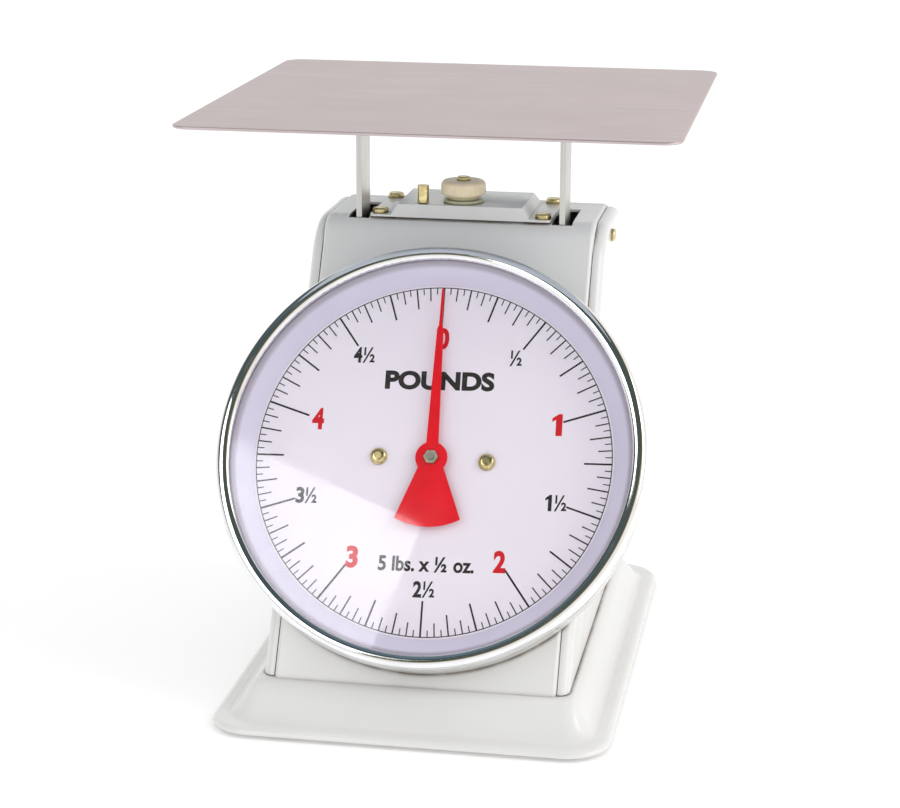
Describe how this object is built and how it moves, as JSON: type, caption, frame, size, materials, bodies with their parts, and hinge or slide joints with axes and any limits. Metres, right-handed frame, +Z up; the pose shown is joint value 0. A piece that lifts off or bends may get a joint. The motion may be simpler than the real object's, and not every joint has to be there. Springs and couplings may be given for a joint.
{
  "type": "dial kitchen scale",
  "caption": "Spring dial kitchen scale: wedge casing on a pressed plinth, leaning round dial with red pointer, flat steel platform on two uprights, zero knob on top.",
  "frame": {"origin": "on the table, under the middle of the bounding box", "axes": "+X to the right of someone facing the dial, +Y to the back (the dial faces -Y), +Z up"},
  "size_m": [0.2286, 0.2728, 0.272],
  "materials": {
    "white_enamel": "glossy white stoved enamel",
    "plated_steel": "zinc plated",
    "satin_steel": "satin",
    "brushed_stainless": "fine brushed grain",
    "spring_steel": "oiled spring wire",
    "brass": "bright",
    "chrome": "polished",
    "nut_steel": "passivated",
    "red_paint": "glossy",
    "dial_print": "printed satin",
    "dial_ring_plastic": "satin",
    "clear_lens": "clear",
    "cream_plastic": "aged cream",
    "washer_plastic": "translucent",
    "black_rubber": "matte"
  },
  "bodies": {
    "root": {"back_cover_screws": "plated_steel", "base_floor": "plated_steel", "base_plinth": "white_enamel", "bezel": "chrome", "bridge_bracket": "white_enamel", "bridge_screws": "brass", "casing_back": "white_enamel", "casing_shell": "white_enamel", "dial_drum": "white_enamel", "dial_plate": "dial_print", "dial_screws": "brass", "dial_spacers": "brass", "dial_surround": "dial_ring_plastic", "drum_screws": "plated_steel", "foot_nuts": "plated_steel", "foot_screws": "plated_steel", "front_bearing_bush": "brass", "knob_washer": "washer_plastic", "lens": "clear_lens", "link_bracket": "plated_steel", "link_bracket_screws": "plated_steel", "lower_link_shaft": "plated_steel", "movement_front_plate": "plated_steel", "movement_pillars": "plated_steel", "movement_rear_plate": "plated_steel", "movement_ring": "plated_steel", "movement_spacers": "plated_steel", "rack_guide_post": "plated_steel", "rear_bearing_bush": "brass", "rubber_feet": "black_rubber", "side_panel_left": "white_enamel", "side_panel_right": "white_enamel", "side_panel_screws": "brass", "travel_stop_screw": "brass", "upper_link_shaft": "plated_steel"},
    "pointer_body": {"pointer_shaft": "plated_steel", "pinion": "brass", "pointer_hub": "plated_steel", "pointer": "red_paint", "pointer_nut": "nut_steel"},
    "rack_body": {"rack": "brass", "rack_eye": "plated_steel"},
    "load_frame": {"platform": "brushed_stainless", "platform_channel": "plated_steel", "platform_screws": "plated_steel", "upright_left": "satin_steel", "upright_right": "satin_steel", "load_crossbar": "plated_steel", "crossbar_screws": "plated_steel", "rack_strap": "plated_steel", "rack_pin": "plated_steel", "link_pins": "plated_steel"},
    "hanger_body": {"spring_hanger": "plated_steel", "spring_left": "spring_steel", "spring_right": "spring_steel"},
    "knob_body": {"zero_knob": "cream_plastic", "adjusting_screw": "brass"},
    "upper_link": {"upper_check_link": "plated_steel"},
    "lower_link": {"lower_check_link": "plated_steel"}
  },
  "joints": [
    {"name": "platform_travel", "type": "slide", "parent": "root", "child": "load_frame", "axis": [0, 0, -1], "range_m": [0, 0.01347], "stiffness_N_per_m": 1650, "springref_m": -0.00613, "deforming": ["spring_left", "spring_right"]},
    {"name": "rack_slide", "type": "slide", "parent": "root", "child": "rack_body", "axis": [0, -0.5135, -0.8581], "range_m": [0, 0.0157]},
    {"name": "pointer_spin", "type": "hinge", "parent": "root", "child": "pointer_body", "pos_m": [0, -0.06045, 0.1142], "axis": [0, 0.8581, -0.5135], "range_deg": [0, 360]},
    {"name": "upper_link_swing", "type": "hinge", "parent": "root", "child": "upper_link", "pos_m": [0, 0.076, 0.165], "axis": [1, 0, 0], "range_deg": [0, 16.4]},
    {"name": "lower_link_swing", "type": "hinge", "parent": "root", "child": "lower_link", "pos_m": [0, 0.076, 0.072], "axis": [1, 0, 0], "range_deg": [0, 16.4]},
    {"name": "zero_knob_turn", "type": "hinge", "parent": "root", "child": "knob_body", "pos_m": [0, 0.02215, 0.2223], "axis": [0, 0, 1], "range_deg": [-360.5, 360.5]},
    {"name": "hanger_lift", "type": "slide", "parent": "root", "child": "hanger_body", "axis": [0, 0, 1], "range_m": [-0.0008, 0.0008]}
  ],
  "couplings": [
    {"joint": "rack_slide", "follows": "platform_travel", "ratio": 1.1654},
    {"joint": "pointer_spin", "follows": "platform_travel", "rad_per_m": 466.17},
    {"joint": "upper_link_swing", "follows": "platform_travel", "rad_per_m": 20.902},
    {"joint": "lower_link_swing", "follows": "platform_travel", "rad_per_m": 20.902},
    {"joint": "zero_knob_turn", "follows": "hanger_lift", "rad_per_m": -7854}
  ]
}
